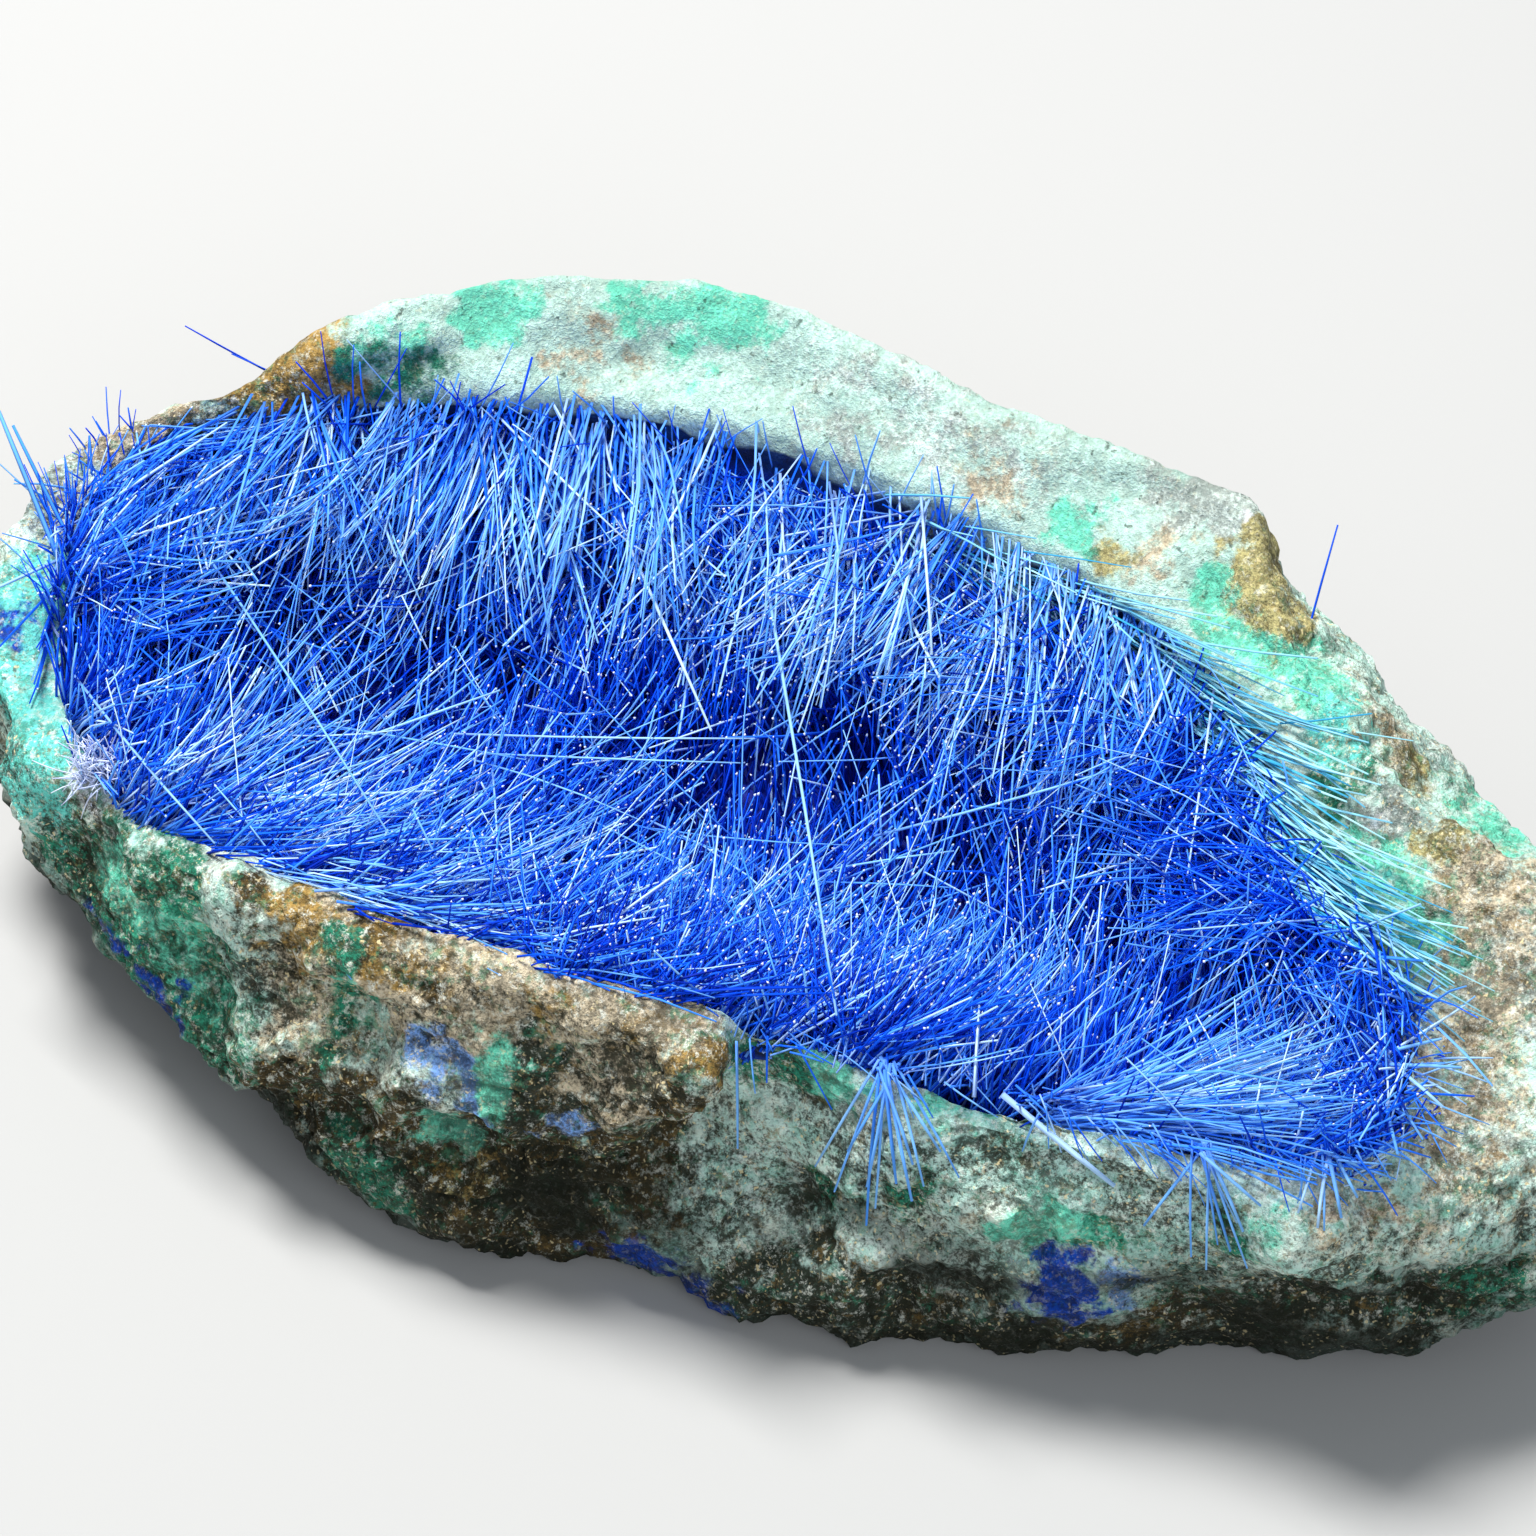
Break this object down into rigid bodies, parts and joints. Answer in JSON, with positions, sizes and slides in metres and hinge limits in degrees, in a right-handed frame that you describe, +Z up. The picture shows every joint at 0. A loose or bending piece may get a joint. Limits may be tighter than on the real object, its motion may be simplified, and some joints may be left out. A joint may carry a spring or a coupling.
{
  "type": "azurite specimen",
  "caption": "Broken piece of green-stained rock whose long hollow is lined with a thick mat of deep blue needle crystals; lies on a flat underside.",
  "frame": {"origin": "middle of the bounding box's base, on the surface that the specimen rests on", "axes": "+X along the length of the stone towards its blunt broken end, +Z up out of the hollow, -Y towards the side with the thin rim"},
  "size_m": [0.0678, 0.0388, 0.0188],
  "materials": {
    "copper_stained_rock": "rough broken rock, grey and ochre with malachite-green crusts",
    "azurite_needles": "glassy to silky hair-thin crystals, deep to light blue"
  },
  "bodies": {
    "root": {"matrix_rock": "copper_stained_rock", "needle_crust": "azurite_needles"}
  },
  "joints": []
}
